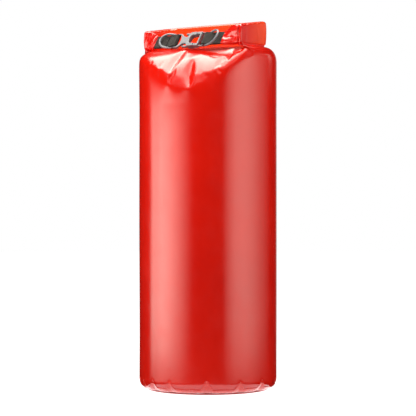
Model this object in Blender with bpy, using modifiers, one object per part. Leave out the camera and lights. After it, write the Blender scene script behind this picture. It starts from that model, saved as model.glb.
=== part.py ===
# A closed roll-top dry bag: a welded tube of coated fabric on a round base, its mouth rolled
# down round two stiffening strips, and the ends of the roll brought forward and joined by a
# side-release buckle. Metres, +Z up, -Y is the buckle's side, origin under the base's centre.

import math

import bmesh
import bpy
from mathutils import Matrix, Vector
from mathutils.geometry import interpolate_bezier

for leftover in list(bpy.data.objects):
    bpy.data.objects.remove(leftover, do_unlink=True)

mm = 0.001
gap = 0.3 * mm  # clearance between neighbouring pieces

# Bag
body_radius = 112.5 * mm
tube_top = 485 * mm
fabric = 1.0 * mm
corner_radius = 16 * mm  # the round lower edge of the tube
corner_height = 18 * mm  # height of that round's centre
base_thickness = 1.2 * mm
base_radius = 98.5 * mm
hem_thickness = 0.8 * mm
tape_thickness = 0.4 * mm
tape_width = 20 * mm

# Rolled mouth: a band that runs round three sides of a C, lower at the front than at the back
right_x = 93 * mm
left_x = -93 * mm
back_y = 29 * mm
front_y = -45 * mm
right_tip_x = 62 * mm
left_tip_x = -71 * mm
bend_radius = 14 * mm
roll_thickness = 12.5 * mm
roll_split_x = -50 * mm  # where the end that is pulled away begins
roll_low_back = 558 * mm
roll_top_back = 598 * mm
low_slope = 0.04  # fall of the band's lower edge, per metre forward
top_slope = 0.155
strip_thickness = 1.2 * mm
strip_height = 22 * mm
slot_height = 23.6 * mm

# Buckle and webbing, laid out in millimetres along u (right), t (up) and n (out)
buckle_centre = Vector((0, -46 * mm, 567 * mm))
buckle_lean = math.radians(36)
plate_half = 1.8
sleeve_half = 4.0
buried = 0.5  # how far a plate's edge lies inside the sleeve it is joined to
arm_half = 1.9
arm_slot_half = 2.2
male_bar_u = -31.0
female_bar_u = 27.1
latch_pivot = (3.0, 13.0)
ring_bar_left_u = -35.5
ring_bar_right_u = 31.5
ring_wire = 1.4
ring_half_width = 14.2
ring_length = 25.0
ring_tilt_left = math.radians(14)
ring_tilt_right = math.radians(20)
webbing_width = 25.0
webbing_thickness = 1.5
eye_radius = 2.8

buckle_frame = Matrix.Translation(buckle_centre) @ Matrix.Rotation(math.pi / 2 - buckle_lean, 4, "X")
millimetres = Matrix.Scale(mm, 4)

pieces = bpy.data.collections.new("dry_bag")
cutters = bpy.data.collections.new("cutters")
for collection in (pieces, cutters):
    bpy.context.scene.collection.children.link(collection)


def make_material(name, colour, roughness, metallic=0.0):
    material = bpy.data.materials.new(name)
    material.use_nodes = True
    shader = material.node_tree.nodes["Principled BSDF"]
    shader.inputs["Base Color"].default_value = (*colour, 1)
    shader.inputs["Roughness"].default_value = roughness
    shader.inputs["Metallic"].default_value = metallic
    return material


def add_piece(name, mesh, colour, roughness):
    piece = bpy.data.objects.new(name, mesh)
    mesh.materials.clear()
    mesh.materials.append(make_material(name, colour, roughness))
    mesh.shade_smooth()
    mesh.set_sharp_from_angle(angle=math.radians(35))
    pieces.objects.link(piece)
    return piece


def add_cutter(name, mesh):
    cutter = bpy.data.objects.new(name, mesh)
    cutter.hide_render = True
    cutter.display_type = "WIRE"
    cutters.objects.link(cutter)
    return cutter


def cut(piece, cutter):
    modifier = piece.modifiers.new("cut", "BOOLEAN")
    modifier.operation = "DIFFERENCE"
    modifier.object = cutter


def join(piece, other):
    modifier = piece.modifiers.new("join", "BOOLEAN")
    modifier.operation = "UNION"
    modifier.object = other


def soften(piece, width, segments=2):
    bevel = piece.modifiers.new("soft edges", "BEVEL")
    bevel.width = width
    bevel.segments = segments
    bevel.limit_method = "ANGLE"
    bevel.angle_limit = math.radians(35)


def curve_mesh(curve):
    """The closed mesh of a curve, its caps welded on."""
    holder = bpy.data.objects.new("holder", curve)
    bpy.context.scene.collection.objects.link(holder)
    graph = bpy.context.evaluated_depsgraph_get()
    mesh = bpy.data.meshes.new_from_object(holder.evaluated_get(graph))
    bpy.data.objects.remove(holder)
    welded = bmesh.new()
    welded.from_mesh(mesh)
    bmesh.ops.remove_doubles(welded, verts=welded.verts, dist=0.00001)
    welded.to_mesh(mesh)
    welded.free()
    return mesh


def plate(outlines, thickness):
    """A flat plate lying in XY: the first outline is its edge, the others are its holes."""
    curve = bpy.data.curves.new("outline", "CURVE")
    curve.dimensions = "2D"
    curve.fill_mode = "BOTH"
    curve.extrude = thickness / 2
    for outline in outlines:
        spline = curve.splines.new("POLY")
        spline.points.add(len(outline) - 1)
        for point, (x, y) in zip(spline.points, outline):
            point.co = (x, y, 0, 1)
        spline.use_cyclic_u = True
    return curve_mesh(curve)


def tube(points, radius, closed):
    """A round wire through the points."""
    curve = bpy.data.curves.new("wire", "CURVE")
    curve.dimensions = "3D"
    curve.bevel_depth = radius
    curve.bevel_resolution = 2
    curve.use_fill_caps = not closed
    spline = curve.splines.new("POLY")
    spline.points.add(len(points) - 1)
    for point, place in zip(spline.points, points):
        point.co = (*place, 1)
    spline.use_cyclic_u = closed
    return curve_mesh(curve)


def turned(name, profile, colour, roughness, steps=64):
    """An open profile spun about Z. It runs down the outer side, top to bottom."""
    mesh = bpy.data.meshes.new(name)
    edges = [(i, i + 1) for i in range(len(profile) - 1)]
    mesh.from_pydata([(radius, 0, height) for radius, height in profile], edges, [])
    piece = add_piece(name, mesh, colour, roughness)
    screw = piece.modifiers.new("spin", "SCREW")
    screw.steps = screw.render_steps = steps
    screw.use_merge_vertices = True
    screw.merge_threshold = 0.00001
    return piece


def thicken(piece, thickness, even=True):
    """Adds a wall inside the surface."""
    wall = piece.modifiers.new("wall", "SOLIDIFY")
    wall.thickness = thickness
    wall.offset = -1
    wall.use_even_offset = even


def arc(centre, radius, start, end, steps):
    """Points on a circle, from one angle to another in degrees."""
    angles = [math.radians(start + (end - start) * i / steps) for i in range(steps + 1)]
    return [(centre[0] + radius * math.cos(a), centre[1] + radius * math.sin(a)) for a in angles]


def bezier(start, handle, other_handle, end, points):
    path = interpolate_bezier(*(Vector((*p, 0)) for p in (start, handle, other_handle, end)), points)
    return [(p.x, p.y) for p in path]


def mirrored(outline):
    return [(u, -t) for u, t in reversed(outline)]


def in_buckle(mesh):
    """Moves a plate drawn in millimetres to the buckle's place."""
    mesh.transform(buckle_frame @ millimetres)
    return mesh


# ---- the bag's shell


def corner_arc(radius, start, end, steps=6):
    return arc((body_radius - corner_radius, corner_height), radius, start, end, steps)


def build_body():
    red = (0.78, 0.02, 0.003)
    outer = [(body_radius, tube_top), (body_radius, tube_top / 2)] + corner_arc(corner_radius, 0, -75)
    thicken(turned("body_tube", outer, red, 0.25), fabric)

    hem_radius = corner_radius + gap + hem_thickness
    thicken(turned("base_hem", corner_arc(hem_radius, -12, -72), red, 0.3), hem_thickness)

    tape_radius = corner_radius - fabric - gap
    tape = turned("base_seam_tape", corner_arc(tape_radius, -15, -72), (0.5, 0.5, 0.5), 0.4, steps=48)
    thicken(tape, tape_thickness)

    disc = bmesh.new()
    bmesh.ops.create_cone(
        disc,
        cap_ends=True,
        segments=64,
        radius1=base_radius,
        radius2=base_radius,
        depth=base_thickness,
        matrix=Matrix.Translation((0, 0, base_thickness / 2)),
    )
    mesh = bpy.data.meshes.new("base_disc")
    disc.to_mesh(mesh)
    disc.free()
    add_piece("base_disc", mesh, red, 0.3)

    seam_low, seam_top = 30 * mm, 480 * mm
    inner_radius = body_radius - fabric - gap
    chord = math.sqrt(inner_radius**2 - (tape_width / 2) ** 2)  # the flat tape stays inside the round
    strip = bmesh.new()
    bmesh.ops.create_cube(strip, size=1)
    bmesh.ops.scale(strip, verts=strip.verts, vec=(tape_width, tape_thickness, seam_top - seam_low))
    place = (0, chord - gap - tape_thickness / 2, (seam_low + seam_top) / 2)
    bmesh.ops.translate(strip, verts=strip.verts, vec=place)
    mesh = bpy.data.meshes.new("body_seam_tape")
    strip.to_mesh(mesh)
    strip.free()
    add_piece("body_seam_tape", mesh, (0.5, 0.5, 0.5), 0.4)


# ---- the rolled mouth


def roll_low(y):
    return roll_low_back - low_slope * (back_y - y)


def roll_top(y):
    return roll_top_back - top_slope * (back_y - y)


def roll_middle(y):
    return (roll_low(y) + roll_top(y)) / 2


def rounded_path(corners, radius, steps=6):
    """Straight runs between the corners, with a round bend at each turn."""
    corners = [Vector(corner) for corner in corners]
    points = [corners[0]]
    for before, corner, after in zip(corners, corners[1:], corners[2:]):
        back = (before - corner).normalized()
        on = (after - corner).normalized()
        half_angle = back.angle(on) / 2
        reach = radius / math.tan(half_angle)
        centre = corner + (back + on).normalized() * (radius / math.sin(half_angle))
        start = corner + back * reach - centre
        turn = math.pi - 2 * half_angle
        if back.cross(on) > 0:
            turn = -turn
        points += [centre + Matrix.Rotation(turn * i / steps, 2) @ start for i in range(steps + 1)]
    points.append(corners[-1])
    return points


def offset_path(path, distance):
    """The path moved sideways, to its left where the distance is positive."""
    moved = []
    for i, point in enumerate(path):
        along = path[min(i + 1, len(path) - 1)] - path[max(i - 1, 0)]
        moved.append(point + Vector((-along.y, along.x)).normalized() * distance)
    return moved


def band_outline(path, half):
    return offset_path(path, half) + offset_path(path, -half)[::-1]


def stretch(path, extra):
    """The path with both ends run on a little."""
    first = path[0] + (path[0] - path[1]).normalized() * extra
    last = path[-1] + (path[-1] - path[-2]).normalized() * extra
    return [first] + path + [last]


def band(path, half, low, high):
    """A band standing on edge along the path, from its lower to its upper height."""
    mesh = plate([band_outline(path, half)], 1.0)
    for vertex in mesh.vertices:
        share = vertex.co.z + 0.5
        vertex.co.z = low(vertex.co.y) * (1 - share) + high(vertex.co.y) * share
    return mesh


def build_roll():
    main_path = rounded_path(
        [
            (right_tip_x, front_y),
            (right_x, front_y),
            (right_x, back_y),
            (roll_split_x + gap / 2, back_y),
        ],
        bend_radius,
    )
    end_path = rounded_path(
        [
            (roll_split_x - gap / 2, back_y),
            (left_x, back_y),
            (left_x, front_y),
            (left_tip_x, front_y),
        ],
        bend_radius,
    )
    slot_half = strip_thickness + 1.5 * gap
    strip_offset = (strip_thickness + gap) / 2
    halves = {
        "roll_main": (main_path, "main"),
        "roll_left_end": (end_path, "left"),
    }
    for name, (path, side) in halves.items():
        mesh = band(path, roll_thickness / 2, roll_low, roll_top)
        roll = add_piece(name, mesh, (0.8, 0.03, 0.004), 0.3)
        soften(roll, 3 * mm)
        slot = band(
            stretch(path, 1 * mm),
            slot_half,
            lambda y: roll_middle(y) - slot_height / 2,
            lambda y: roll_middle(y) + slot_height / 2,
        )
        cut(roll, add_cutter(name + "_slot", slot))
        for layer, distance in (("inner", strip_offset), ("outer", -strip_offset)):
            strip = band(
                offset_path(path, distance),
                strip_thickness / 2,
                lambda y: roll_middle(y) - strip_height / 2,
                lambda y: roll_middle(y) + strip_height / 2,
            )
            add_piece(f"stiffener_{layer}_{side}", strip, (0.05, 0.05, 0.055), 0.5)


def spread(path, count):
    """Points at even distances along a path, ends included."""
    lengths = [0.0]
    for a, b in zip(path, path[1:]):
        lengths.append(lengths[-1] + (b - a).length)
    points = []
    for i in range(count):
        target = lengths[-1] * i / (count - 1)
        k = min(max(j for j, run in enumerate(lengths) if run <= target + 1e-9), len(path) - 2)
        share = (target - lengths[k]) / (lengths[k + 1] - lengths[k])
        points.append(path[k].lerp(path[k + 1], share))
    return points


def build_shoulder():
    """The tube's upper end: a loft from its circle to both sides of the rolled mouth."""
    mouth_half = 5 * mm
    mouth_gap = 1.3 * mm
    full_sides = 1.8  # how long the sides and back stay out before they turn in
    full_drop = 0.7  # the front turns in sooner by this much
    side_angle = math.radians(18)  # the creases at the sides lie a little to the front
    back_count, front_count, rows = 30, 26, 7
    path = rounded_path(
        [(right_x, front_y), (right_x, back_y), (left_x, back_y), (left_x, front_y)], bend_radius
    )
    mouth = spread(offset_path(path, -mouth_half), back_count)
    mouth += spread(offset_path(path, mouth_half)[::-1], front_count)
    angles = [
        -side_angle + (math.pi + 2 * side_angle) * (i + 0.5) / back_count for i in range(back_count)
    ]
    angles += [
        math.pi + side_angle + (math.pi - 2 * side_angle) * (i + 0.5) / front_count
        for i in range(front_count)
    ]
    shell = bmesh.new()
    rings = []
    for row in range(rows + 1):
        turn = math.pi / 2 * row / rows
        upward = math.sin(turn)
        ring = []
        for angle, end in zip(angles, mouth):
            start = Vector((math.cos(angle), math.sin(angle))) * body_radius
            fullness = full_sides - full_drop * max(0, -math.sin(angle)) ** 2
            place = start.lerp(end, (1 - math.cos(turn)) ** fullness)
            low = tube_top + gap
            height = low + (roll_low(place.y) - mouth_gap - low) * upward
            ring.append(shell.verts.new((place.x, place.y, height)))
        rings.append(ring)
    for lower, upper in zip(rings, rings[1:]):
        for i in range(len(lower)):
            k = (i + 1) % len(lower)
            shell.faces.new((lower[i], lower[k], upper[k], upper[i]))
    mesh = bpy.data.meshes.new("shoulder")
    shell.to_mesh(mesh)
    shell.free()
    thicken(add_piece("shoulder", mesh, (0.8, 0.02, 0.003), 0.25), fabric, even=False)


# ---- the buckle, drawn in millimetres in its own plane


def build_male():
    grey = (0.42, 0.43, 0.44)
    mouth_u, notch_t = 8.1, 8.6
    half_outline = (
        [(male_bar_u - 2, 13), (male_bar_u - 0.6, 14.4), (-25.5, 14.4)]
        + bezier((-25.5, 14.4), (-20, 13.6), (-17.5, 6.4), (-12, 6.4), 8)[1:]
        + bezier((-12, 6.4), (-8.5, 6.4), (-6, 9), (-2.5, 14.3 - buried), 7)[1:]
        + [(mouth_u - buried, 14.3 - buried), (mouth_u - buried, notch_t + buried)]
        + arc((3.2, 3.2), notch_t - 3.2 + buried, 90, 180, 5)
    )
    outline = half_outline + mirrored(half_outline)
    webbing_hole = (
        [(male_bar_u + 1.6, 12.9), (male_bar_u + 1.6, -12.9), (-26.2, -12.9)]
        + bezier((-26.2, -12.9), (-19, -8), (-19, 8), (-26.2, 12.9), 9)[1:]
    )
    male = add_piece("buckle_male", in_buckle(plate([outline, webbing_hole], 2 * plate_half)), grey, 0.4)
    soften(male, 0.5 * mm, segments=1)
    collar_half = [(-7, 9), (-3, 14.3), (mouth_u, 14.3), (mouth_u, notch_t)]
    collar_half += arc((3.2, 3.2), notch_t - 3.2, 90, 180, 5)
    collar_outline = collar_half + mirrored(collar_half)
    collar = add_cutter("collar", in_buckle(plate([collar_outline], 2 * sleeve_half)))
    soften(collar, 0.7 * mm, segments=1)
    join(male, collar)
    for side in (1, -1):
        slot = [(-6.5, 10.2 * side), (9, 10.2 * side), (9, 16 * side), (-6.5, 16 * side)]
        cutter = in_buckle(plate([slot], 2 * arm_slot_half))
        cut(male, add_cutter("male_slot", cutter))


def build_latch_arms():
    outline = [
        (-14, 11.6),
        (-14.7, 12.8),
        (-14, 14.3),
        (-5.5, 14.3),
        (-3.6, 13.8),
        (13.9, 13.8),
        (13.9, 11.1),
        (12.4, 11.1),
        (12.4, 12.3),
        (-3.4, 12.3),
        (-5.4, 11.6),
    ]
    for name, points in (("latch_arm_upper", outline), ("latch_arm_lower", mirrored(outline))):
        arm = add_piece(name, in_buckle(plate([points], 2 * arm_half)), (0.4, 0.41, 0.42), 0.4)
        side = 1 if points is outline else -1
        pivot = buckle_frame @ (Vector((latch_pivot[0], latch_pivot[1] * side, 0)) * mm)
        arm.data.transform(Matrix.Translation(-pivot))
        arm.location = pivot
        soften(arm, 0.3 * mm, segments=1)


def build_female():
    grey = (0.45, 0.46, 0.47)
    mouth_u, window_u, slot_u, tail_u = 8.5, 15.4, 18.6, female_bar_u + 1.7
    half_outline = [
        (window_u + buried, 9.6 + buried),
        (mouth_u + buried, 9.6 + buried),
        (mouth_u + buried, 14.6 - buried),
        (slot_u - buried, 14.6 - buried),
        (slot_u + buried, 14.6),
        (tail_u - 2, 14.6),
        (tail_u, 12.6),
    ]
    outline = half_outline + mirrored(half_outline)
    webbing_hole = [
        (slot_u, 12.9),
        (slot_u, -12.9),
        (female_bar_u - 1.7, -12.9),
        (female_bar_u - 1.7, 12.9),
    ]
    plate_mesh = in_buckle(plate([outline, webbing_hole], 2 * plate_half))
    female = add_piece("buckle_female", plate_mesh, grey, 0.35)
    soften(female, 0.5 * mm, segments=1)
    sleeve_half_outline = [(window_u, 9.6), (mouth_u, 9.6), (mouth_u, 14.6), (slot_u - 0.2, 14.6)]
    sleeve_outline = sleeve_half_outline + mirrored(sleeve_half_outline)
    sleeve = add_cutter("sleeve", in_buckle(plate([sleeve_outline], 2 * sleeve_half)))
    soften(sleeve, 0.8 * mm, segments=1)
    join(female, sleeve)
    notch = [(7.9, 12.0), (12.1, 12.0), (12.1, 10.8), (14.2, 10.8), (14.2, 16), (7.9, 16)]
    for points in (notch, mirrored(notch)):
        cut(female, add_cutter("female_slot", in_buckle(plate([points], 2 * arm_slot_half))))


def build_straps():
    """Each strap is a loop of webbing round the buckle's bar and the ring's bar."""
    layers = webbing_thickness + 0.1
    fold = eye_radius + webbing_thickness
    ring_eye = ring_wire + 0.5
    side_values = {
        "strap_right": (female_bar_u, ring_bar_right_u, right_tip_x / mm - 0.4, 1),
        "strap_left": (male_bar_u, ring_bar_left_u, left_tip_x / mm + 0.4, -1),
    }
    for name, (bar, ring_bar, end, way) in side_values.items():
        bar, ring_bar, end = abs(bar), abs(ring_bar), abs(end)
        outer = (
            arc((bar, 0), fold, 90, 270, 12)
            + [(ring_bar + 1, -ring_eye - webbing_thickness), (ring_bar + 8, -layers), (end, -layers)]
            + [(end, layers), (ring_bar + 8, layers), (ring_bar + 1, ring_eye + webbing_thickness)]
        )
        eye = arc((bar, 0), eye_radius, 90, 270, 10) + arc((ring_bar, 0), ring_eye, -90, 90, 6)
        mesh = plate([outer, eye], webbing_width)
        # the plate lies in u and n with its thickness along t
        mesh.transform(Matrix.Rotation(math.pi / 2, 4, "X"))
        if way < 0:
            mesh.transform(Matrix.Rotation(math.pi, 4, "Y"))
        strap = add_piece(name, in_buckle(mesh), (0.03, 0.03, 0.028), 0.8)
        strap.data.materials[0].name = name


def build_rings():
    side_values = {
        "ring_left": (ring_bar_left_u, ring_tilt_left, -1),
        "ring_right": (ring_bar_right_u, ring_tilt_right, 1),
    }
    straight = ring_length - ring_half_width
    bend = 2.4
    for name, (bar, tilt, way) in side_values.items():
        loop = (
            arc((straight, 0), ring_half_width, -90, 90, 14)
            + arc((bend, ring_half_width - bend), bend, 90, 180, 3)
            + arc((bend, bend - ring_half_width), bend, 180, 270, 3)
        )
        wire = tube([(x, y, 0) for x, y in loop], ring_wire, closed=True)
        ring = add_piece(name, wire, (0.5, 0.5, 0.5), 0.35)
        if way < 0:
            wire.transform(Matrix.Rotation(math.pi, 4, "Y"))
        turn = Matrix.Rotation(-way * tilt, 4, "Y")
        pivot = buckle_frame @ (Vector((bar, 0, 0)) * mm)
        wire.transform(buckle_frame.to_3x3().to_4x4() @ turn @ millimetres)
        ring.location = pivot


build_body()
build_roll()
build_shoulder()
build_male()
build_latch_arms()
build_female()
build_straps()
build_rings()
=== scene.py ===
import math

import bmesh
import bpy
import numpy as np
from mathutils import Matrix, Vector, noise


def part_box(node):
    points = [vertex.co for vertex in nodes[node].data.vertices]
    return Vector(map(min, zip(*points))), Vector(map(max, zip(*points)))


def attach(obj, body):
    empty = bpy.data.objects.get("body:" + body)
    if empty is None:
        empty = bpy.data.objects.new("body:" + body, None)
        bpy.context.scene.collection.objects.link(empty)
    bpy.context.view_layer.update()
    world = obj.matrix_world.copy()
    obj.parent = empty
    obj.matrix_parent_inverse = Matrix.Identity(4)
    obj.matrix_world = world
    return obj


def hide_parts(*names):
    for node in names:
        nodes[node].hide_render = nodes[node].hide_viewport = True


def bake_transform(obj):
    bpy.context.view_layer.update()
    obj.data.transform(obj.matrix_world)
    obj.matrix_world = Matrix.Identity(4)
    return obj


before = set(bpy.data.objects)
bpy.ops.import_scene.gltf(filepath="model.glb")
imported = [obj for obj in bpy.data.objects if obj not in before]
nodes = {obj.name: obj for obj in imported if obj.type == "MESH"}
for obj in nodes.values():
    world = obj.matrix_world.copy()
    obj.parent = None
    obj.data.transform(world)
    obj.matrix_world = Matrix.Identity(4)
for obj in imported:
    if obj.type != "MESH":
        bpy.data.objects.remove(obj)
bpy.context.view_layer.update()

# A closed roll-top dry bag. Metres, +Z up, the buckle faces -Y.

mm = 0.001
scene = bpy.context.scene

# Shapes


def linearColour(hexColour):
    channels = [int(hexColour[i : i + 2], 16) / 255 for i in (1, 3, 5)]
    return [c / 12.92 if c <= 0.04045 else ((c + 0.055) / 1.055) ** 2.4 for c in channels] + [1.0]


def smoothStep(low, high, value):
    share = min(max((value - low) / (high - low), 0.0), 1.0)
    return share * share * (3 - 2 * share)


def bump(centre, width, value):
    return math.exp(-(((value - centre) / width) ** 2))


def arc(centre, radius, start, end, steps):
    # points on a circle, from one angle to another in degrees
    angles = [math.radians(start + (end - start) * i / steps) for i in range(steps + 1)]
    return [Vector((centre[0] + radius * math.cos(a), centre[1] + radius * math.sin(a))) for a in angles]


def roundedPath(corners, radii, runSteps=1, bendSteps=8):
    # straight runs with a round bend at each turn, all cut into even steps
    corners = [Vector(corner) for corner in corners]
    points = [corners[0]]
    for before, corner, after, radius in zip(corners, corners[1:], corners[2:], radii):
        back = (before - corner).normalized()
        on = (after - corner).normalized()
        halfAngle = back.angle(on) / 2
        centre = corner + (back + on).normalized() * (radius / math.sin(halfAngle))
        start = corner + back * (radius / math.tan(halfAngle)) - centre
        turn = (math.pi - 2 * halfAngle) * (-1 if back.cross(on) > 0 else 1)
        last = points[-1]
        points += [last.lerp(centre + start, i / runSteps) for i in range(1, runSteps)]
        points += [centre + Matrix.Rotation(turn * i / bendSteps, 2) @ start for i in range(bendSteps + 1)]
    last = points[-1]
    points += [last.lerp(corners[-1], i / runSteps) for i in range(1, runSteps + 1)]
    return points


def offsetPath(path, distance):
    # moved to its left where the distance is positive
    moved = []
    for i, point in enumerate(path):
        along = path[min(i + 1, len(path) - 1)] - path[max(i - 1, 0)]
        moved.append(point + Vector((-along.y, along.x)).normalized() * distance)
    return moved


def spread(path, count):
    # even steps along a path, ends included
    lengths = [0.0]
    for a, b in zip(path, path[1:]):
        lengths.append(lengths[-1] + (b - a).length)
    points = []
    k = 0
    for i in range(count):
        target = lengths[-1] * i / (count - 1)
        while k < len(path) - 2 and lengths[k + 1] < target:
            k += 1
        points.append(path[k].lerp(path[k + 1], (target - lengths[k]) / (lengths[k + 1] - lengths[k])))
    return points


def roundedBox(width, height, radius, count):
    # a closed outline of evenly spread points
    across, up = width / 2 - radius, height / 2 - radius
    outline = []
    for x, y, start in ((across, up, 0), (-across, up, 90), (-across, -up, 180), (across, -up, 270)):
        outline += arc((x, y), radius, start, start + 90, 5)
    return spread(outline + outline[:1], count + 1)[:-1]


def refine(grid, axis, closed):
    # a point is put between each two, on the cubic through their neighbours
    grid = np.moveaxis(grid, axis, 0)
    if closed:
        after = np.roll(grid, -1, 0)
        middle = (9 * (grid + after) - np.roll(grid, 1, 0) - np.roll(grid, -2, 0)) / 16
        finer = np.empty((2 * len(grid), *grid.shape[1:]))
    else:
        ends = np.concatenate([2 * grid[:1] - grid[1:2], grid, 2 * grid[-1:] - grid[-2:-1]])
        middle = (9 * (grid[:-1] + grid[1:]) - ends[:-3] - ends[3:]) / 16
        finer = np.empty((2 * len(grid) - 1, *grid.shape[1:]))
    finer[0::2] = grid
    finer[1::2] = middle
    return np.moveaxis(finer, 0, axis)


def loft(rings, joined=False, capped=True):
    # a tube through rings of points; its UV map is in metres, round the ring and along the tube
    rings = np.array(rings, float)
    count, columns = rings.shape[:2]
    bm = bmesh.new()
    bmesh.ops.create_circle(bm, segments=columns, radius=1)
    first = list(bm.edges)
    edges = first
    for step in range(count - 1):
        made = bmesh.ops.extrude_edge_only(bm, edges=edges)["geom"]
        edges = [g for g in made if isinstance(g, bmesh.types.BMEdge)]
    bm.verts.ensure_lookup_table()
    for vertex, place in zip(bm.verts, rings.reshape(-1, 3)):
        vertex.co = place
    if joined:
        bmesh.ops.bridge_loops(bm, edges=first + edges)
    elif capped:
        bmesh.ops.edgeloop_fill(bm, edges=first + edges)
    bmesh.ops.recalc_face_normals(bm, faces=bm.faces)
    # in the same order each time, so that a simulation on it repeats exactly
    bm.verts.index_update()
    size = len(bm.verts)

    def edgeOrder(edge):
        ends = [v.index for v in edge.verts]
        return min(ends) * size + max(ends)

    def faceOrder(face):
        corners = [v.index for v in face.verts]
        return sum(corners) + min(corners) / size

    bm.edges.sort(key=edgeOrder)
    bm.faces.sort(key=faceOrder)

    closedRings = np.concatenate([rings, rings[:, :1]], 1)
    around = np.cumsum(np.linalg.norm(np.diff(closedRings, axis=1), axis=2).mean(0))
    around = np.concatenate([[0], around])
    closedLength = np.concatenate([rings, rings[:1]])
    along = np.cumsum(np.linalg.norm(np.diff(closedLength, axis=0), axis=2).mean(1))
    along = np.concatenate([[0], along])
    layer = bm.loops.layers.uv.new("cloth")
    bm.verts.index_update()
    for face in bm.faces:
        if len(face.verts) != 4:
            continue
        at = [divmod(loop.vert.index, columns) for loop in face.loops]
        wrapColumns = max(j for i, j in at) - min(j for i, j in at) > 1
        wrapRows = max(i for i, j in at) - min(i for i, j in at) > 1
        for loop, (i, j) in zip(face.loops, at):
            row = count if wrapRows and i == 0 else i
            column = columns if wrapColumns and j == 0 else j
            loop[layer].uv = (around[column], along[row])
    return bm


def sweep(path, across, section, joined=False, scales=None):
    # rings of a section carried along a path; the section's x lies along "across"
    rings = []
    last = len(path) - 1
    scales = scales or [1.0] * len(path)
    for i, point in enumerate(path):
        before = path[i - 1] if i or joined else point
        after = path[(i + 1) % len(path)] if joined or i < last else point
        out = (after - before).normalized().cross(across).normalized()
        rings.append([point + (across * x + out * y) * scales[i] for x, y in section])
    return rings


def addPiece(name, bm, material):
    mesh = bpy.data.meshes.new(name)
    bm.to_mesh(mesh)
    bm.free()
    mesh.shade_smooth()
    mesh.materials.append(material)
    piece = bpy.data.objects.new(name, mesh)
    scene.collection.objects.link(piece)
    return piece


def subdivide(piece, levels=1):
    modifier = piece.modifiers.new("smooth", "SUBSURF")
    modifier.levels = modifier.render_levels = levels


def bevelEdges(piece, width, segments=3):
    modifier = piece.modifiers.new("soft edges", "BEVEL")
    modifier.width = width
    modifier.segments = segments
    modifier.limit_method = "ANGLE"
    modifier.angle_limit = math.radians(30)
    modifier.harden_normals = True


# Materials


def addNode(tree, kind, settings=None, links=None):
    # a setting is a property of the node or the value of one of its inputs
    node = tree.nodes.new(kind)
    for name, value in (settings or {}).items():
        if isinstance(name, str) and hasattr(node, name):
            setattr(node, name, value)
        else:
            node.inputs[name].default_value = value
    for name, (source, output) in (links or {}).items():
        tree.links.new(source.outputs[output], node.inputs[name])
    return node


def newMaterial(name):
    material = bpy.data.materials.new(name)
    material.use_nodes = True
    tree = material.node_tree
    tree.nodes.clear()
    return material, tree


def finishMaterial(tree, settings, links):
    shader = addNode(tree, "ShaderNodeBsdfPrincipled", settings, links)
    addNode(tree, "ShaderNodeOutputMaterial", {}, {"Surface": (shader, "BSDF")})


def noisePattern(tree, place, size, detail, roughness=0.5):
    # a noise whose cells are that size in metres
    settings = {"Scale": 1 / size, "Detail": detail, "Roughness": roughness}
    return addNode(tree, "ShaderNodeTexNoise", settings, {"Vector": (place, "Object")})


def relief(tree, strength, depth, links):
    return addNode(tree, "ShaderNodeBump", {"Strength": strength, "Distance": depth}, links)


def colourRamp(tree, source, output, low, lowColour, high, highColour):
    ramp = addNode(tree, "ShaderNodeValToRGB", {}, {"Fac": (source, output)})
    for element, position, colour in zip(ramp.color_ramp.elements, (low, high), (lowColour, highColour)):
        element.position = position
        element.color = linearColour(colour)
    return ramp


def threadWaves(tree, place, pitch):
    # warp and weft ridges at that pitch, over a UV map in metres
    scale = 2 * math.pi / 20 / pitch
    waves = []
    for way in ("X", "Y"):
        settings = {"bands_direction": way, "Scale": scale}
        waves.append(addNode(tree, "ShaderNodeTexWave", settings, {"Vector": (place, "UV")}))
    return addNode(
        tree,
        "ShaderNodeMath",
        {"operation": "MULTIPLY"},
        {0: (waves[0], "Fac"), 1: (waves[1], "Fac")},
    )


def coatedFabric(name, colour, deepColour, roughness, paintedLightColour=None):
    # Polyester cloth with a calendered PVC coat: saturated, glossy, the weave just telegraphing through
    material, tree = newMaterial(name)
    place = addNode(tree, "ShaderNodeTexCoord")
    clouds = noisePattern(tree, place, 111 * mm, 4.0)
    tone = colourRamp(tree, clouds, "Fac", 0.3, deepColour, 0.7, colour)
    toneOutput = "Color"
    if paintedLightColour:
        # painted light: towards the back (+Y) of the roll its colour is mixed to a brighter orange, where it
        # looks more lit
        axes = addNode(tree, "ShaderNodeSeparateXYZ", {}, {"Vector": (place, "Object")})
        paintedLightShare = addNode(
            tree,
            "ShaderNodeMapRange",
            {"From Min": -38 * mm, "From Max": 15 * mm},
            {"Value": (axes, "Y")},
        )
        tone = addNode(
            tree,
            "ShaderNodeMix",
            {"data_type": "RGBA", 7: linearColour(paintedLightColour)},
            {0: (paintedLightShare, "Result"), 6: (tone, "Color")},
        )
        toneOutput = 2
    threads = threadWaves(tree, place, 1.2 * mm)
    weave = relief(tree, 0.05, 0.1 * mm, {"Height": (threads, "Value")})
    peel = noisePattern(tree, place, 12.5 * mm, 2.0)  # the coat's orange peel
    surface = relief(tree, 0.12, 0.3 * mm, {"Height": (peel, "Fac"), "Normal": (weave, "Normal")})
    scuffs = noisePattern(tree, place, 26.3 * mm, 6.0, 0.7)  # from handling, where the gloss is duller
    gloss = addNode(
        tree,
        "ShaderNodeMapRange",
        {"From Min": 0.45, "From Max": 0.75, "To Min": roughness, "To Max": roughness + 0.09},
        {"Value": (scuffs, "Fac")},
    )
    finishMaterial(
        tree,
        {"IOR": 1.5},
        {"Base Color": (tone, toneOutput), "Roughness": (gloss, "Result"), "Normal": (surface, "Normal")},
    )
    return material


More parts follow.
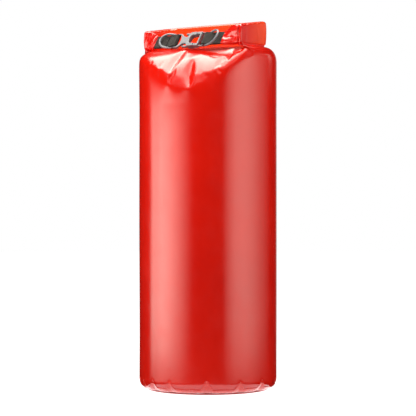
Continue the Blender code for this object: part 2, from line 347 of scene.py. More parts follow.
def mouldedPlastic(name, colour, darkColour, roughness):
    # Injection-moulded acetal: satin, faintly mottled, with the mould's spark-eroded grain
    material, tree = newMaterial(name)
    place = addNode(tree, "ShaderNodeTexCoord")
    mottle = noisePattern(tree, place, 7.7 * mm, 3.0)
    tone = colourRamp(tree, mottle, "Fac", 0.25, darkColour, 0.65, colour)
    grain = noisePattern(tree, place, 0.4 * mm, 2.0)
    surface = relief(tree, 0.25, 0.05 * mm, {"Height": (grain, "Fac")})
    gloss = addNode(
        tree,
        "ShaderNodeMapRange",
        {"To Min": roughness - 0.06, "To Max": roughness + 0.08},
        {"Value": (mottle, "Fac")},
    )
    finishMaterial(
        tree,
        {"IOR": 1.42},
        {"Base Color": (tone, "Color"), "Roughness": (gloss, "Result"), "Normal": (surface, "Normal")},
    )
    return material


def wovenWebbing(name, colour, highColour):
    # Polypropylene webbing: matt, ribbed across at 1.3 mm, a little lighter on the ribs
    material, tree = newMaterial(name)
    place = addNode(tree, "ShaderNodeTexCoord")
    threads = threadWaves(tree, place, 1.3 * mm)
    fuzz = noisePattern(tree, place, 1.11 * mm, 2.0)
    mixed = addNode(
        tree,
        "ShaderNodeMath",
        {"operation": "MULTIPLY"},
        {0: (threads, "Value"), 1: (fuzz, "Fac")},
    )
    tone = colourRamp(tree, mixed, "Value", 0.05, colour, 0.5, highColour)
    surface = relief(tree, 0.8, 0.3 * mm, {"Height": (threads, "Value")})
    finishMaterial(
        tree,
        {"Roughness": 0.8, "Specular IOR Level": 0.12, "Sheen Weight": 0.1, "Sheen Roughness": 0.5},
        {"Base Color": (tone, "Color"), "Normal": (surface, "Normal")},
    )
    return material


def plainFilm(name, colour, otherColour, roughness, cloudSize):
    # Sheet stock that stays inside the bag: heat-seal tape, stiffening strip
    material, tree = newMaterial(name)
    place = addNode(tree, "ShaderNodeTexCoord")
    clouds = noisePattern(tree, place, cloudSize, 4.0)
    tone = colourRamp(tree, clouds, "Fac", 0.35, colour, 0.65, otherColour)
    surface = relief(tree, 0.15, 0.1 * mm, {"Height": (clouds, "Fac")})
    finishMaterial(
        tree,
        {"Roughness": roughness},
        {"Base Color": (tone, "Color"), "Normal": (surface, "Normal")},
    )
    return material


fabricRed = coatedFabric("PVC-coated polyester, red", "#EA1500", "#E01100", 0.17)
# the roll's last colour is painted light: a brighter orange mixed in towards its back
rollRed = coatedFabric("PVC-coated polyester, red, rolled", "#E81402", "#DC0F02", 0.20, "#FF4206")
hemRed = coatedFabric("PVC-coated polyester, red, welded band", "#EF2408", "#E41C05", 0.26)
baseRed = coatedFabric("PVC-coated polyester, red, base", "#D81A06", "#C81605", 0.35)
buckleGrey = mouldedPlastic("moulded acetal, grey", "#828184", "#6B6B6E", 0.36)
# painted shade: the spring arms take a darker grey than the rest of the buckle, for where they sit in its
# shadow
shadedLatchGrey = mouldedPlastic("moulded acetal, grey, spring arms, painted shade", "#757579", "#626266", 0.40)
ringGrey = mouldedPlastic("moulded nylon, grey", "#7E7F82", "#6A6B6E", 0.34)
webbingBlack = wovenWebbing("polypropylene webbing, black", "#1E1A17", "#554E47")
threadBlack = wovenWebbing("bonded nylon thread, black", "#141312", "#393735")
tapeGrey = plainFilm("heat-seal tape, grey", "#8E9092", "#9FA1A3", 0.5, 16.7 * mm)
stripBlack = plainFilm("polyethylene strip, black", "#1D1D1F", "#2A2A2C", 0.45, 11.1 * mm)

# The rolled mouth's outline, shared with the cloth that runs up into it

mainLow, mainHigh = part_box("roll_main")
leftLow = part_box("roll_left_end")[0]
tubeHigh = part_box("body_tube")[1]
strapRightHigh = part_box("strap_right")[1]
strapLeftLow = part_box("strap_left")[0]

mouth = {
    "thickness": 12.5 * mm,
    "bend": 14 * mm,
    "lowBack": 558 * mm,
    "topBack": mainHigh.z,
    "lowSlope": 0.04,  # fall towards the front, per metre
    "topSlope": 0.155,
    "rightTip": strapRightHigh.x,
    "leftTip": strapLeftLow.x,
}
mouth["rightX"] = mainHigh.x - mouth["thickness"] / 2
mouth["leftX"] = leftLow.x + mouth["thickness"] / 2
mouth["backY"] = mainHigh.y - mouth["thickness"] / 2
mouth["frontY"] = mainLow.y + mouth["thickness"] / 2


def rollLow(y):
    return mouth["lowBack"] - mouth["lowSlope"] * (mouth["backY"] - y)


def rollTop(y):
    return mouth["topBack"] - mouth["topSlope"] * (mouth["backY"] - y)


# The bag's cloth: a straight tube whose upper end is drawn into the rolled mouth

skin = {
    "radius": tubeHigh.x,
    "columns": 192,
    "simFrom": 455 * mm,  # height where the simulated cloth begins
    "rows": 34,
    "frontStart": 506 * mm,  # where the front turns in towards the mouth
    "sideStart": 533 * mm,
    "frontAngle": math.radians(-73),
    "frontSpread": math.radians(66),
    "frontFlat": 0.55,
    "sideRound": 1.25,
    "slack": 1.01,
    "bending": 20.0,
    "pressure": 50.0,
    "frames": 30,
    "mouthHalf": 4.0 * mm,
    "creaseAngle": math.radians(16),
    "cornerRadius": 16 * mm,  # the round lower edge
    "cornerHeight": 18 * mm,
    "waviness": 0.5 * mm,
    "waveTurns": 1.6,
    "waveHeight": 170 * mm,
    "waveFoot": (12 * mm, 90 * mm),  # heights between which the waves grow
    "waveHead": 60 * mm,
    "lapHalf": 11 * mm,  # the back seam's lap
    "lapEdge": 1.5 * mm,
    "lapStep": 0.5 * mm,
}

# Small tucks where the wall is welded to the round base
tuck = {
    "halfWidth": 12 * mm,
    "depth": 2.3 * mm,  # at size 1
    "foot": 6 * mm,
    "tip": 17 * mm,  # the height of the tip, and what each unit of size adds to it
    "tipRise": 5 * mm,
}
# angle in degrees, size
tucks = [
    (-107, 1.5), (-88, 1.3), (-56, 1.6), (-28, 1.4), (-5, 1.6), (21, 1.2), (47, 1.5), (70, 1.3),
    (96, 1.5), (121, 1.2), (148, 1.6), (173, 1.3), (199, 1.5), (226, 1.2), (238, 0.9),
]


def mouthRing(angles):
    # where the cloth at each angle round the bag enters the roll
    corners = [
        (mouth["rightX"], mouth["frontY"]),
        (mouth["rightX"], mouth["backY"]),
        (mouth["leftX"], mouth["backY"]),
        (mouth["leftX"], mouth["frontY"]),
    ]
    path = roundedPath(corners, [mouth["bend"]] * 2)
    dense = 400
    outer = spread(offsetPath(path, -skin["mouthHalf"]), dense)
    inner = spread(offsetPath(path, skin["mouthHalf"])[::-1], dense)
    crease = skin["creaseAngle"]
    backSpan = math.pi + 2 * crease
    places = []
    for angle in angles:
        turn = (angle + crease) % (2 * math.pi)
        if turn <= backSpan:
            share, side = turn / backSpan, outer
        else:
            share, side = (turn - backSpan) / (2 * math.pi - backSpan), inner
        places.append(side[round(share * (dense - 1))])
    return places


def shoulderRows(angles):
    # the cloth as it would lie without folds: straight up, then over and in to the roll
    columns = []
    for angle, end in zip(angles, mouthRing(angles)):
        off = (angle - skin["frontAngle"] + math.pi) % (2 * math.pi) - math.pi
        away = smoothStep(0, 1, abs(off) / skin["frontSpread"])
        start = skin["frontStart"] + (skin["sideStart"] - skin["frontStart"]) * away
        direction = Vector((math.cos(angle), math.sin(angle), 0))
        low = direction * skin["radius"]
        low.z = skin["simFrom"]
        turnIn = low.copy()
        turnIn.z = start
        high = Vector((end.x, end.y, rollLow(end.y) - 1.5 * mm))
        flatness = skin["frontFlat"] * (1 - away)
        path = [low]
        for step in range(25):
            turn = math.pi / 2 * step / 24
            inward = (1 - math.cos(turn)) ** (1 + (skin["sideRound"] - 1) * away)
            curved = turnIn.lerp(high, inward)
            curved.z = turnIn.z + (high.z - turnIn.z) * math.sin(turn)
            path.append(curved.lerp(turnIn.lerp(high, step / 24), flatness))
        column = spread(path, skin["rows"])
        column += [high + Vector((0, 0, 3 * mm)), high + Vector((0, 0, 6 * mm))]
        columns.append(column)
    return np.array(columns).transpose(1, 0, 2)


def simulateShoulder(rows, angles):
    # the cloth remembers that it is a straight tube, so what the mouth gathers in has to fold
    count, columns = rows.shape[:2]
    run = np.zeros((count, columns))
    run[1:] = np.cumsum(np.linalg.norm(np.diff(rows, axis=0), axis=2), axis=0)
    rest = rows.copy()
    rest[:, :, 0] = skin["radius"] * np.cos(angles)
    rest[:, :, 1] = skin["radius"] * np.sin(angles)
    rest[:, :, 2] = skin["simFrom"] + run * skin["slack"]
    bm = loft(rest, capped=False)
    mesh = bpy.data.meshes.new("shoulderCloth")
    bm.to_mesh(mesh)
    bm.free()
    cloth = bpy.data.objects.new("shoulderCloth", mesh)
    scene.collection.objects.link(cloth)
    straight = cloth.shape_key_add(name="straight")
    laid = cloth.shape_key_add(name="laid")
    laid.data.foreach_set("co", rows.reshape(-1).astype(np.float32))
    laid.value = 1.0
    pin = cloth.vertex_groups.new(name="pin")
    pin.add(list(range(2 * columns)) + list(range((count - 2) * columns, count * columns)), 1.0, "REPLACE")

    modifier = cloth.modifiers.new("cloth", "CLOTH")
    settings = modifier.settings
    settings.rest_shape_key = straight
    settings.quality = 7
    settings.mass = 0.25
    settings.air_damping = 2.0
    settings.tension_stiffness = 30.0
    settings.compression_stiffness = 30.0
    settings.shear_stiffness = 12.0
    settings.bending_stiffness = skin["bending"]
    settings.tension_damping = settings.compression_damping = 12.0
    settings.shear_damping = 8.0
    settings.bending_damping = 1.0
    settings.use_pressure = True
    settings.uniform_pressure_force = skin["pressure"]
    settings.vertex_group_mass = "pin"
    settings.effector_weights.gravity = 0.0
    modifier.collision_settings.use_collision = False
    modifier.point_cache.frame_start = 1
    modifier.point_cache.frame_end = skin["frames"]
    for frameNumber in range(1, skin["frames"] + 1):
        scene.frame_set(frameNumber)
    graph = bpy.context.evaluated_depsgraph_get()
    result = cloth.evaluated_get(graph).to_mesh()
    settled = np.array([v.co[:] for v in result.vertices]).reshape(rows.shape)
    bpy.data.objects.remove(cloth)
    scene.frame_set(1)
    print("shoulder simulated, mean height", float(settled[:, :, 2].mean()), "m")
    return settled


def tucksNear(angle):
    # each tuck beside that angle: how far off it is along the wall, its size, the height of its tip
    for centre, size in tucks:
        off = abs((math.degrees(angle) - centre + 180) % 360 - 180) * math.radians(1) * skin["radius"]
        if off < tuck["halfWidth"]:
            yield off, size, tuck["tip"] + tuck["tipRise"] * size


def tuckDepth(angle, height):
    # a dent that narrows upwards to a point above the band
    depth = 0.0
    for off, size, tip in tucksNear(angle):
        rise = min(1.0, (tip - height) / (tip - tuck["foot"]))
        half = tuck["halfWidth"] * rise
        if rise > 0 and off < half:
            depth += tuck["depth"] * size * (1 - off / half) * rise
    return depth


def wallPoint(angle, radius, height):
    # the wall isn't a perfect cylinder: slow waves, and the lap of the back seam
    direction = Vector((math.cos(angle), math.sin(angle), 0))
    sample = direction * skin["waveTurns"]
    sample.z = height / skin["waveHeight"]
    wave = noise.noise(sample + Vector((3, 1, 7)))
    ease = smoothStep(*skin["waveFoot"], height)
    ease *= smoothStep(skin["simFrom"], skin["simFrom"] - skin["waveHead"], height)
    radius += skin["waviness"] * wave * ease
    lap = abs(angle - math.pi / 2) * skin["radius"]
    radius += skin["lapStep"] * smoothStep(skin["lapHalf"] + skin["lapEdge"], skin["lapHalf"], lap) * ease
    radius -= tuckDepth(angle, height)
    place = direction * radius
    place.z = height
    return place


def buildSkin():
    angles = np.arange(skin["columns"]) * 2 * math.pi / skin["columns"]
    rows = shoulderRows(angles)
    rows = simulateShoulder(rows, angles)
    upper = refine(refine(rows, 0, False), 1, True)
    fineAngles = np.arange(2 * skin["columns"]) * math.pi / skin["columns"]
    corner = (skin["radius"] - skin["cornerRadius"], skin["cornerHeight"])
    profile = arc(corner, skin["cornerRadius"], -88, 0, 11)
    profile += [Vector((skin["radius"], z)) for z in np.arange(20, 42, 2) * mm]
    profile += [Vector((skin["radius"], z)) for z in np.linspace(46 * mm, skin["simFrom"], 30)[:-1]]
    lower = [[wallPoint(a, p.x, p.y) for a in fineAngles] for p in profile]
    bm = loft(np.concatenate([np.array(lower), upper]), capped=False)
    bag = addPiece("bagSkin", bm, fabricRed)
    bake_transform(bag)
    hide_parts("body_tube", "shoulder")
    print("bag skin built")


hem = {
    "columns": 480,
    "thickness": 0.9 * mm,
    "lowAngle": -74,
    "top": 9.0 * mm,
    "waviness": 1.4 * mm,
    "waveTurns": 9,
    "peakDrop": 1.5 * mm,  # its edge rises to this far below each tuck's tip
    "peakSlope": 1.5,
    "tuckShare": 0.9,  # how much of a tuck it follows
    # the outline of its section: twelfths of its height, and how proud it is in thicknesses
    "section": [(0, 0.5), (0.4, 0.8), (1.5, 1.0)]
    + [(step, 1.0) for step in range(3, 12)]
    + [(11.6, 0.9), (11.9, 0.6), (9, -0.3), (6, -0.3), (3, -0.3), (0.5, -0.3)],
}


def buildHem():
    # the band that welds the wall to the base, its upper edge a little wavy
    corner = skin["radius"] - skin["cornerRadius"]
    height = skin["cornerHeight"]
    low = height + skin["cornerRadius"] * math.sin(math.radians(hem["lowAngle"]))
    outlines = []
    for i in range(hem["columns"]):
        angle = 2 * math.pi * i / hem["columns"]
        direction = Vector((math.cos(angle), math.sin(angle), 0))
        sample = direction * hem["waveTurns"]
        sample.z = 4.0
        wave = noise.noise(sample)
        top = hem["top"] + hem["waviness"] * wave
        for off, size, tip in tucksNear(angle):
            top = max(top, tip - hem["peakDrop"] - off * hem["peakSlope"])
        outline = []
        for step, depth in hem["section"]:
            z = low + (top - low) * (step / 12) ** 1.25
            level = min(z, height) - height
            reach = skin["cornerRadius"] + depth * hem["thickness"]
            r = corner + math.sqrt(max(reach**2 - level**2, 0))
            r -= hem["tuckShare"] * tuckDepth(angle, z)
            outline.append(direction * r + Vector((0, 0, z)))
        outlines.append(outline)
    band = addPiece("hemBand", loft(outlines, joined=True), hemRed)
    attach(band, "bag")
    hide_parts("base_hem")
    print("hem built")


# The rolled mouth

buckle = {
    "centre": Vector((0, -46 * mm, 567 * mm)),
    "lean": math.radians(36),
    "maleBar": 31.0,
    "femaleBar": 27.1,
    "leftRingBar": 35.5,
    "rightRingBar": 31.5,
}
buckleTurn = Matrix.Rotation(math.pi / 2 - buckle["lean"], 4, "X")
buckleFrame = Matrix.Translation(buckle["centre"]) @ buckleTurn

roll = {
    "outerRadii": [3.0 * mm, 17 * mm, 17 * mm, 13 * mm],
    "innerRadii": [3.0 * mm, 7 * mm, 7 * mm, 5 * mm],
    "runSteps": 34,
    "bendSteps": 12,
    "sectionPoints": 60,
    "tipHeight": 27 * mm,
    "tipThickness": 8.0 * mm,
    "stripEnd": 30 * mm,
    "rightTaper": 30 * mm,
    "leftTaper": 22 * mm,
    "unevenness": 0.018,  # of its height, along each 18 mm
    "unevenRun": 18 * mm,
    "closing": 2.5 * mm,  # how far from its ends it starts to close
    "endHeight": 0.93,  # of its height, right at the ends
    "greatestHalf": 0.75,  # of the mouth's thickness, in the bends
    "flatness": 1.9,
    "blendStart": (0.01, 0.029, 0.57),
    "blendEnd": (-0.07, 0.029, 0.57),
}

# Distances in metres along the roll from one of its ends, depths in millimetres
wrinkles = {
    "softRun": 26 * mm,
    "softHigh": 16 * mm,
    "soft": 0.45,
    "jitterSize": 9 * mm,
    "ridge": 3.4,  # a fold's height above its groove
    "groove": 2.0,  # how far the groove lies below the roll's face
    "fanPivot": 7 * mm,
    "fanFolds": 4.6,
    "fanIn": (-2 * mm, 9 * mm),
    "fanOut": (38 * mm, 28 * mm),
    # where, how it slants, how wide, how deep: the hard front right corner, then shallow creases
    "creases": [(34 * mm, 0, 1.5 * mm, 2.6), (52 * mm, 0.15, 2.2 * mm, 0.5), (86 * mm, -0.2, 2.6 * mm, 0.35)],
    "crumpleIn": (-1 * mm, 5 * mm),
    "crumpleOut": (62 * mm, 36 * mm),
    "crumplePitch": 2.4 * mm,
}


def rollWrinkles(fromRight, fromLeft, high):
    # how far the cloth stands proud, by distance from each end of the roll and height on it
    soft = noise.noise(Vector((fromRight / wrinkles["softRun"], high / wrinkles["softHigh"], 2.0)))
    proud = wrinkles["soft"] * soft
    size = wrinkles["jitterSize"]
    jitter = noise.noise(Vector((fromRight / size, high / size, 5.0)))
    # folds fan out from the end of the right strap
    fan = math.atan2(high, fromRight + wrinkles["fanPivot"])
    envelope = smoothStep(*wrinkles["fanIn"], fromRight) * smoothStep(*wrinkles["fanOut"], fromRight)
    fold = abs(math.sin(wrinkles["fanFolds"] * fan + 0.5 + 0.7 * jitter))
    proud += envelope * (wrinkles["ridge"] * fold - wrinkles["groove"])
    for place, slant, width, depth in wrinkles["creases"]:
        proud -= depth * bump(place + slant * high, width, fromRight)
    # the left end is crumpled right round its bend
    crumple = smoothStep(*wrinkles["crumpleIn"], fromLeft) * smoothStep(*wrinkles["crumpleOut"], fromLeft)
    phase = fromLeft / wrinkles["crumplePitch"] + 0.10 * high / mm + 1.6 * jitter
    proud += crumple * (wrinkles["ridge"] * abs(math.sin(phase)) - wrinkles["groove"])
    return proud * mm


def buildRoll():
    front = mainLow.y
    back = mainHigh.y
    right = mainHigh.x
    left = leftLow.x
    thick = mouth["thickness"]
    outerCorners = [
        (mouth["rightTip"], front),
        (right, front),
        (right, back),
        (left, back),
        (left, front),
        (mouth["leftTip"], front),
    ]
    innerCorners = [
        (mouth["rightTip"], front + thick),
        (right - thick, front + thick),
        (right - thick, back - thick),
        (left + thick, back - thick),
        (left + thick, front + thick),
        (mouth["leftTip"], front + thick),
    ]
    outer = roundedPath(outerCorners, roll["outerRadii"], roll["runSteps"], roll["bendSteps"])
    inner = roundedPath(innerCorners, roll["innerRadii"], roll["runSteps"], roll["bendSteps"])
    run = [0.0]
    for a, b in zip(outer, outer[1:]):
        run.append(run[-1] + (b - a).length)
    section = spread(arc((0, 0), 1, 0, 360, 90), roll["sectionPoints"] + 1)[:-1]
    outlines = []
    stripLine = []
    for outside, inside, fromRight in zip(outer, inner, run):
        fromLeft = run[-1] - fromRight
        tip = max(
            smoothStep(roll["rightTaper"], 0, fromRight),
            smoothStep(roll["leftTaper"], 0, fromLeft),
        )
        middle = (outside + inside) / 2
        out = Vector((*(outside - inside).normalized(), 0))
        half = min((outside - inside).length / 2, roll["greatestHalf"] * thick)
        low, top = rollLow(middle.y), rollTop(middle.y)
        centre = Vector((middle.x, middle.y, (low + top) / 2))
        goal = Vector((centre.x, buckle["centre"].y, buckle["centre"].z))
        centre = centre.lerp(goal, tip)
        lean = buckle["lean"] * tip
        if fromRight > roll["stripEnd"] and fromLeft > roll["stripEnd"]:
            stripLine.append(centre)
        up = Vector((0, 0, 1)) * math.cos(lean) - out * math.sin(lean)
        facing = out * math.cos(lean) + Vector((0, 0, 1)) * math.sin(lean)
        halfHeight = (top - low) / 2 * (1 - tip) + roll["tipHeight"] / 2 * tip
        half = half * (1 - tip) + roll["tipThickness"] / 2 * tip
        uneven = noise.noise(Vector((fromRight / roll["unevenRun"], 0, 9.0)))
        halfHeight *= 1 + roll["unevenness"] * uneven
        closing = math.sqrt(min(1.0, (min(fromRight, fromLeft) + 0.4 * mm) / roll["closing"]))
        half *= closing
        halfHeight *= roll["endHeight"] + (1 - roll["endHeight"]) * closing
        flat = max(halfHeight - half, 0)
        outline = []
        for x, y in section:
            across, high = half * x, half * y + flat * max(-1.0, min(1.0, roll["flatness"] * y))
            proud = rollWrinkles(fromRight, fromLeft, high) * max(0.0, x) ** 0.5 * closing
            outline.append(centre + facing * (across + proud) + up * high)
        outlines.append(outline)
    piece = addPiece("rolledMouth", loft(outlines), rollRed)
    subdivide(piece)
    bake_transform(piece)
    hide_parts("roll_main", "roll_left_end")
    buildStiffeners(stripLine)
    print("roll built")


def buildStiffeners(line):
    # the two strips that the mouth is rolled round, out of sight inside it
    section = [(x * mm, y * mm) for x, y in roundedBox(22, 1.2, 0.4, 32)]
    for layer, aside in (("inner", -0.8), ("outer", 0.8)):
        strip = loft(sweep(line, Vector((0, 0, 1)), [(x, y + aside * mm) for x, y in section]))
        piece = addPiece(layer + "Stiffener", strip, stripBlack)
        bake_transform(piece)
        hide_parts(f"stiffener_{layer}_main", f"stiffener_{layer}_left")


# Webbing, rings and buckle, laid out in millimetres along u (right), t (up) and n (out)

webbing = {
    "width": 25.0,
    "thickness": 1.5,
    "layer": 0.85,  # half the distance between the two layers' middles
    "barTurn": 3.55,
    "ringTurn": 2.65,
    "tuckedIn": 1.5,
    "loopBend": 6.0,
    "layersMeet": 8,  # how far past the ring's bar the layers lie flat again
    "stitchAt": 10.5,
    "stitchRows": 26,
    "stitchPitch": 0.86,
    "stitch": (1.5, 0.3, 0.28),
    "stitchTurn": math.radians(14),
}


def inBuckle(points, way):
    return [buckleFrame @ (Vector((way * u, 0, n)) * mm) for u, n in points]


def buildStraps():
    across = buckleFrame.to_3x3() @ Vector((0, 1, 0))
    section = [
        (x * mm, y * mm) for x, y in roundedBox(webbing["width"], webbing["thickness"], 0.65, 64)
    ]
    sides = {
        "strapRight": (buckle["femaleBar"], buckle["rightRingBar"], mouth["rightTip"] / mm, 1),
        "strapLeft": (buckle["maleBar"], buckle["leftRingBar"], -mouth["leftTip"] / mm, -1),
    }
    for name, (bar, ringBar, end, way) in sides.items():
        layer = [
            (end + webbing["tuckedIn"], webbing["layer"]),
            (ringBar + webbing["layersMeet"], webbing["layer"]),
            (ringBar + 1, webbing["ringTurn"]),
            (bar, webbing["barTurn"]),
        ]
        upper = roundedPath(layer, [webbing["loopBend"]] * 2)
        turn = arc((bar, 0), webbing["barTurn"], 90, 270, 16)
        path = upper + turn[1:-1] + [Vector((p.x, -p.y)) for p in reversed(upper)]
        path = inBuckle(spread(path, 90), way)
        strap = addPiece(name, loft(sweep(path, across, section)), webbingBlack)
        onRight = way > 0
        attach(strap, "bag" if onRight else "male_side")
        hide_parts("strap_right" if onRight else "strap_left")
        buildBarTack(name + "Tack", ringBar + webbing["stitchAt"], way)
    print("straps built")


def buildBarTack(name, u, way):
    # a dense zigzag of thread that holds the two layers together
    bm = bmesh.new()
    rows = webbing["stitchRows"]
    size = Vector(webbing["stitch"]) * mm
    for i in range(rows):
        t = (i - (rows - 1) / 2) * webbing["stitchPitch"]
        made = bmesh.ops.create_uvsphere(bm, u_segments=8, v_segments=6, radius=1)["verts"]
        bmesh.ops.scale(bm, verts=made, vec=size)
        turn = Matrix.Rotation(webbing["stitchTurn"] * (1 if i % 2 else -1), 4, "Z")
        height = (webbing["layer"] + webbing["thickness"] / 2) * mm
        place = Matrix.Translation((way * u * mm, t * mm, height)) @ turn
        bmesh.ops.transform(bm, matrix=buckleFrame @ place, verts=made)
    bmesh.ops.recalc_face_normals(bm, faces=bm.faces)
    tack = addPiece(name, bm, threadBlack)
    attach(tack, "bag" if way > 0 else "male_side")


dRing = {
    "wire": 1.4,
    "swell": 0.3,  # how much thicker the loop is than its bar
    "swellRun": (2.5, 7.0),
    "halfWidth": 14.2,
    "length": 25.0,
    "corner": 2.4,
    "leftTilt": math.radians(14),
    "rightTilt": math.radians(20),
}


def buildRings():
    straight = dRing["length"] - dRing["halfWidth"]
    corner = dRing["corner"]
    loop = arc((straight, 0), dRing["halfWidth"], -90, 90, 40)
    loop += arc((corner, dRing["halfWidth"] - corner), corner, 90, 180, 8)
    loop += arc((corner, corner - dRing["halfWidth"]), corner, 180, 270, 8)
    loop = spread(loop + loop[:1], 121)[:-1]
    section = [(p.x * mm, p.y * mm) for p in arc((0, 0), dRing["wire"], 0, 360, 16)[:-1]]
    sides = {
        "ringLeft": ("ring_left", "left_ring", -buckle["leftRingBar"], dRing["leftTilt"], -1),
        "ringRight": ("ring_right", "right_ring", buckle["rightRingBar"], dRing["rightTilt"], 1),
    }
    for name, (node, body, bar, tilt, way) in sides.items():
        turn = Matrix.Rotation(-way * tilt, 4, "Y")
        if way < 0:
            turn = turn @ Matrix.Rotation(math.pi, 4, "Y")
        place = buckleFrame @ Matrix.Translation((bar * mm, 0, 0)) @ turn
        path = [place @ (Vector((p.x, p.y, 0)) * mm) for p in loop]
        across = place.to_3x3() @ Vector((0, 0, 1))
        scales = [1 + dRing["swell"] * smoothStep(*dRing["swellRun"], p.x) for p in loop]
        wire = loft(sweep(path, across, section, True, scales), joined=True)
        ring = addPiece(name, wire, ringGrey)
        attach(ring, body)
        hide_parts(node)
    print("rings built")


def finishNodes():
    # the CAD's own pieces that stay
    looks = {
        "base_disc": (baseRed, 0.3),
        "base_seam_tape": (tapeGrey, 0),
        "body_seam_tape": (tapeGrey, 0),
        "buckle_male": (buckleGrey, 0.28),
        "buckle_female": (buckleGrey, 0.28),
        "latch_arm_upper": (shadedLatchGrey, 0.2),
        "latch_arm_lower": (shadedLatchGrey, 0.2),
    }
    for name, node in nodes.items():
        if name in looks:
            material, width = looks[name]
            node.data.materials.clear()
            node.data.materials.append(material)
            if width:
                bevelEdges(node, width * mm)
    print("CAD pieces finished")


buildSkin()
buildHem()
buildRoll()
buildStraps()
buildRings()
finishNodes()

# Studio

studio = {
    "azimuth": math.radians(35),
    "distance": 2.6,
    "height": 295.5 * mm,
    "lens": 137.0,
    "away": 1.5,  # how far the screens stand
    "ambient": 0.42,
    "darkness": 0.01,  # what the bag mirrors between the screens
    "paper": 0.25,
    "paperSeen": 0.98,
    "paperRadius": 8,
    "floorGlow": 2.6,
    "glowRadius": 0.115,
    "glowForward": 0.07,
    "warmth": (1.0, 0.98, 0.87),
}
# Curved screens that the bag mirrors: radiance by turn from the camera's direction in degrees,
# and the share of it by height in metres
wallHeights = [(-0.16, 0), (-0.02, 1), (0.85, 1), (1.0, 0)]
screens = {
    "left": (
        [(-109, 0), (-104, 4.2), (-92, 5.4), (-80, 7.8), (-66, 7.0)]
        + [(-54, 5.0), (-42, 2.7), (-31, 0.7), (-24, 0)],
        [(-0.16, 0), (-0.02, 1), (0.52, 1), (0.66, 0)],
    ),
    "right": (
        [(24, 0), (33, 1.9), (45, 3.8), (61, 4.0), (77, 2.8), (93, 1.2), (108, 0.4), (120, 0)],
        wallHeights,
    ),
    "right, high": (
        [(86, 0), (94, 1.5), (122, 1.5), (132, 0)],
        [(0.64, 0), (0.70, 1), (1.0, 1), (1.1, 0)],
    ),
    "rim": ([(150, 0), (160, 0.45), (180, 0.45), (184, 0)], wallHeights),
}
canopy = {
    "half": 1.3,
    "height": 2.0,
    "radiance": 12.0,
    "front": [(-1.2, 0), (-0.9, 1), (0.1, 1), (1.25, 0)],
    "side": [(0, 1), (0.8, 1), (1.25, 0)],
}


def addGlow(name, bm):
    # the mesh glows by its attribute, and in reflections only
    mesh = bpy.data.meshes.new(name)
    bm.to_mesh(mesh)
    bm.free()
    screen = bpy.data.objects.new("screen, " + name, mesh)
    scene.collection.objects.link(screen)
    screen.visible_camera = screen.visible_diffuse = screen.visible_shadow = False
    material, tree = newMaterial("lit silk, " + name)
    strength = addNode(tree, "ShaderNodeAttribute", {"attribute_name": "glow"})
    colour = (*studio["warmth"], 1)
    silk = addNode(tree, "ShaderNodeEmission", {"Color": colour}, {"Strength": (strength, "Fac")})
    addNode(tree, "ShaderNodeOutputMaterial", {}, {"Surface": (silk, "Emission")})
    mesh.materials.append(material)


def addScreen(name, turns, heights, away):
    bm = bmesh.new()
    bmesh.ops.create_grid(bm, x_segments=48, y_segments=24, size=1)
    glow = bm.verts.layers.float.new("glow")
    for vertex in bm.verts:
        turn = turns[0][0] + (turns[-1][0] - turns[0][0]) * (vertex.co.x + 1) / 2
        z = heights[0][0] + (heights[-1][0] - heights[0][0]) * (vertex.co.y + 1) / 2
        vertex[glow] = np.interp(turn, *zip(*turns)) * np.interp(z, *zip(*heights))
        vertex.co = Matrix.Rotation(math.radians(turn), 3, "Z") @ away * studio["away"]
        vertex.co.z = z
    addGlow(name, bm)


def addCanopy(name, away):
    # the broad screen overhead, which fades towards its rim and most of all towards the front
    bm = bmesh.new()
    bmesh.ops.create_grid(bm, x_segments=40, y_segments=40, size=canopy["half"])
    glow = bm.verts.layers.float.new("glow")
    for vertex in bm.verts:
        front = np.interp(vertex.co.dot(away), *zip(*canopy["front"]))
        side = np.interp(vertex.co.cross(away).length, *zip(*canopy["side"]))
        vertex[glow] = canopy["radiance"] * front * side
        vertex.co.z = canopy["height"]
    addGlow(name, bm)


def addSoftbox(name, location, aim, size, radiance, lit):
    light = bpy.data.lights.new(name, "AREA")
    light.shape = "RECTANGLE"
    light.size, light.size_y = size
    light.energy = radiance * math.pi * size[0] * size[1]
    light.color = (1, 1, 1) if lit else studio["warmth"]
    holder = bpy.data.objects.new(name, light)
    holder.location = location
    holder.rotation_euler = (aim - location).to_track_quat("-Z", "Y").to_euler()
    # a softbox either lights the bag or is mirrored in it, so that each can be set by itself
    holder.visible_diffuse = lit
    holder.visible_glossy = not lit
    scene.collection.objects.link(holder)


def addFloor(name, radius, height, emission):
    bm = bmesh.new()
    bmesh.ops.create_circle(bm, cap_ends=True, segments=96, radius=radius)
    bmesh.ops.translate(bm, verts=bm.verts, vec=(0, 0, height))
    mesh = bpy.data.meshes.new(name)
    bm.to_mesh(mesh)
    bm.free()
    floor = bpy.data.objects.new(name, mesh)
    scene.collection.objects.link(floor)
    material, tree = newMaterial(name)
    path = addNode(tree, "ShaderNodeLightPath")
    glow = addNode(
        tree,
        "ShaderNodeMapRange",
        {"To Min": emission, "To Max": studio["paperSeen"]},
        {"Value": (path, "Is Camera Ray")},
    )
    finishMaterial(
        tree,
        {"Base Color": (0.3, 0.3, 0.3, 1), "Roughness": 0.9, "Emission Color": (1, 1, 1, 1)},
        {"Emission Strength": (glow, "Result")},
    )
    mesh.materials.append(material)
    return floor


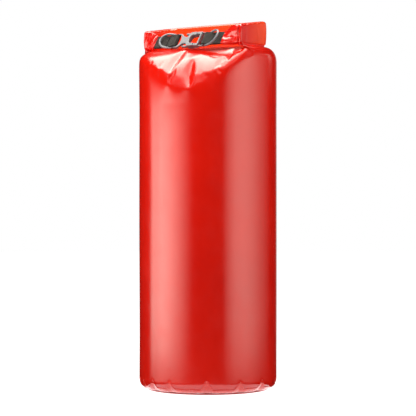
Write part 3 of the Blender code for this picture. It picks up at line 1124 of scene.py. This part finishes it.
def buildStudio():
    away = Vector((math.sin(studio["azimuth"]), -math.cos(studio["azimuth"]), 0))
    camera = bpy.data.objects.new("camera", bpy.data.cameras.new("camera"))
    camera.data.lens = studio["lens"]
    camera.data.clip_end = 50
    target = Vector((0, 0, studio["height"]))
    camera.location = target + away * studio["distance"]
    camera.rotation_euler = (target - camera.location).to_track_quat("-Z", "Y").to_euler()
    scene.collection.objects.link(camera)
    scene.camera = camera

    for name, (turns, heights) in screens.items():
        addScreen(name, turns, heights, away)
    crown = Vector((0, 0, 0.5))
    addCanopy("overhead", away)
    addSoftbox("overhead, front", away * 1.5 + Vector((0, 0, 1.9)), crown, (1.6, 0.7), 2.0, False)
    for name, turn, radiance in (("key", -52, 9.0), ("second key", 76, 4.6)):
        side = Matrix.Rotation(math.radians(turn), 3, "Z") @ away
        addSoftbox(name, side * 0.8 + Vector((0, 0, 1.15)), crown, (0.6, 0.6), radiance, True)

    world = bpy.data.worlds.new("studio")
    world.use_nodes = True
    tree = world.node_tree
    tree.nodes.clear()
    path = addNode(tree, "ShaderNodeLightPath")
    white, soft, dark = [
        addNode(tree, "ShaderNodeBackground", {"Color": (1, 1, 1, 1), "Strength": strength})
        for strength in (1.0, studio["ambient"], studio["darkness"])
    ]
    unseen = addNode(
        tree,
        "ShaderNodeMixShader",
        {},
        {"Fac": (path, "Is Glossy Ray"), 1: (soft, "Background"), 2: (dark, "Background")},
    )
    mix = addNode(
        tree,
        "ShaderNodeMixShader",
        {},
        {"Fac": (path, "Is Camera Ray"), 1: (unseen, "Shader"), 2: (white, "Background")},
    )
    addNode(tree, "ShaderNodeOutputWorld", {}, {"Surface": (mix, "Shader")})
    scene.world = world

    floor = addFloor("white paper", studio["paperRadius"], 0, studio["paper"])
    floor.visible_glossy = False
    near = addFloor("lit paper round the bag", studio["glowRadius"], 0.05 * mm, studio["floorGlow"])
    near.location = away * studio["glowForward"]
    near.visible_camera = False
    near.visible_diffuse = False
    near.visible_shadow = False
    scene.view_settings.view_transform = "Standard"
    print("studio built")


buildStudio()
